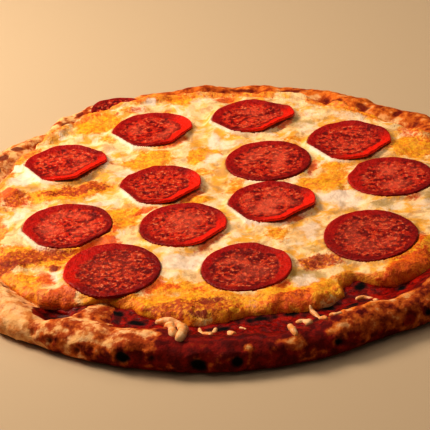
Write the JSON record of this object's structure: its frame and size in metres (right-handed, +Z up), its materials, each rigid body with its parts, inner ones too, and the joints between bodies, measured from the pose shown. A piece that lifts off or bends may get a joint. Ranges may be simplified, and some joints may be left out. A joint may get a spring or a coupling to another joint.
{
  "type": "pepperoni pizza",
  "caption": "Whole round pepperoni pizza with a low, uneven, charred crust, tomato sauce at its edge, melted browned cheese and cupped pepperoni slices.",
  "frame": {"origin": "centre of the flat underside, on the surface that the pizza lies on", "axes": "+Z up out of the toppings, -Y towards the side that the picture shows nearest, +X to the picture's right"},
  "size_m": [0.2905, 0.2886, 0.0178],
  "materials": {
    "crust": "baked dough, matte",
    "sauce": "wet tomato sauce",
    "cheese": "melted cheese, browned in places",
    "pepperoni": "oily cured sausage"
  },
  "bodies": {
    "root": {"crust": "crust", "sauce": "sauce", "cheese": "cheese", "pepperoni_back_left": "pepperoni", "pepperoni_left": "pepperoni", "pepperoni_inner_left": "pepperoni", "pepperoni_mid_left": "pepperoni", "pepperoni_inner_front": "pepperoni", "pepperoni_back": "pepperoni", "pepperoni_back_right": "pepperoni", "pepperoni_inner_back": "pepperoni", "pepperoni_inner_right": "pepperoni", "pepperoni_right": "pepperoni", "pepperoni_front_right": "pepperoni", "pepperoni_front_left": "pepperoni", "pepperoni_front": "pepperoni", "pepperoni_end_at_rim": "pepperoni"}
  },
  "joints": []
}
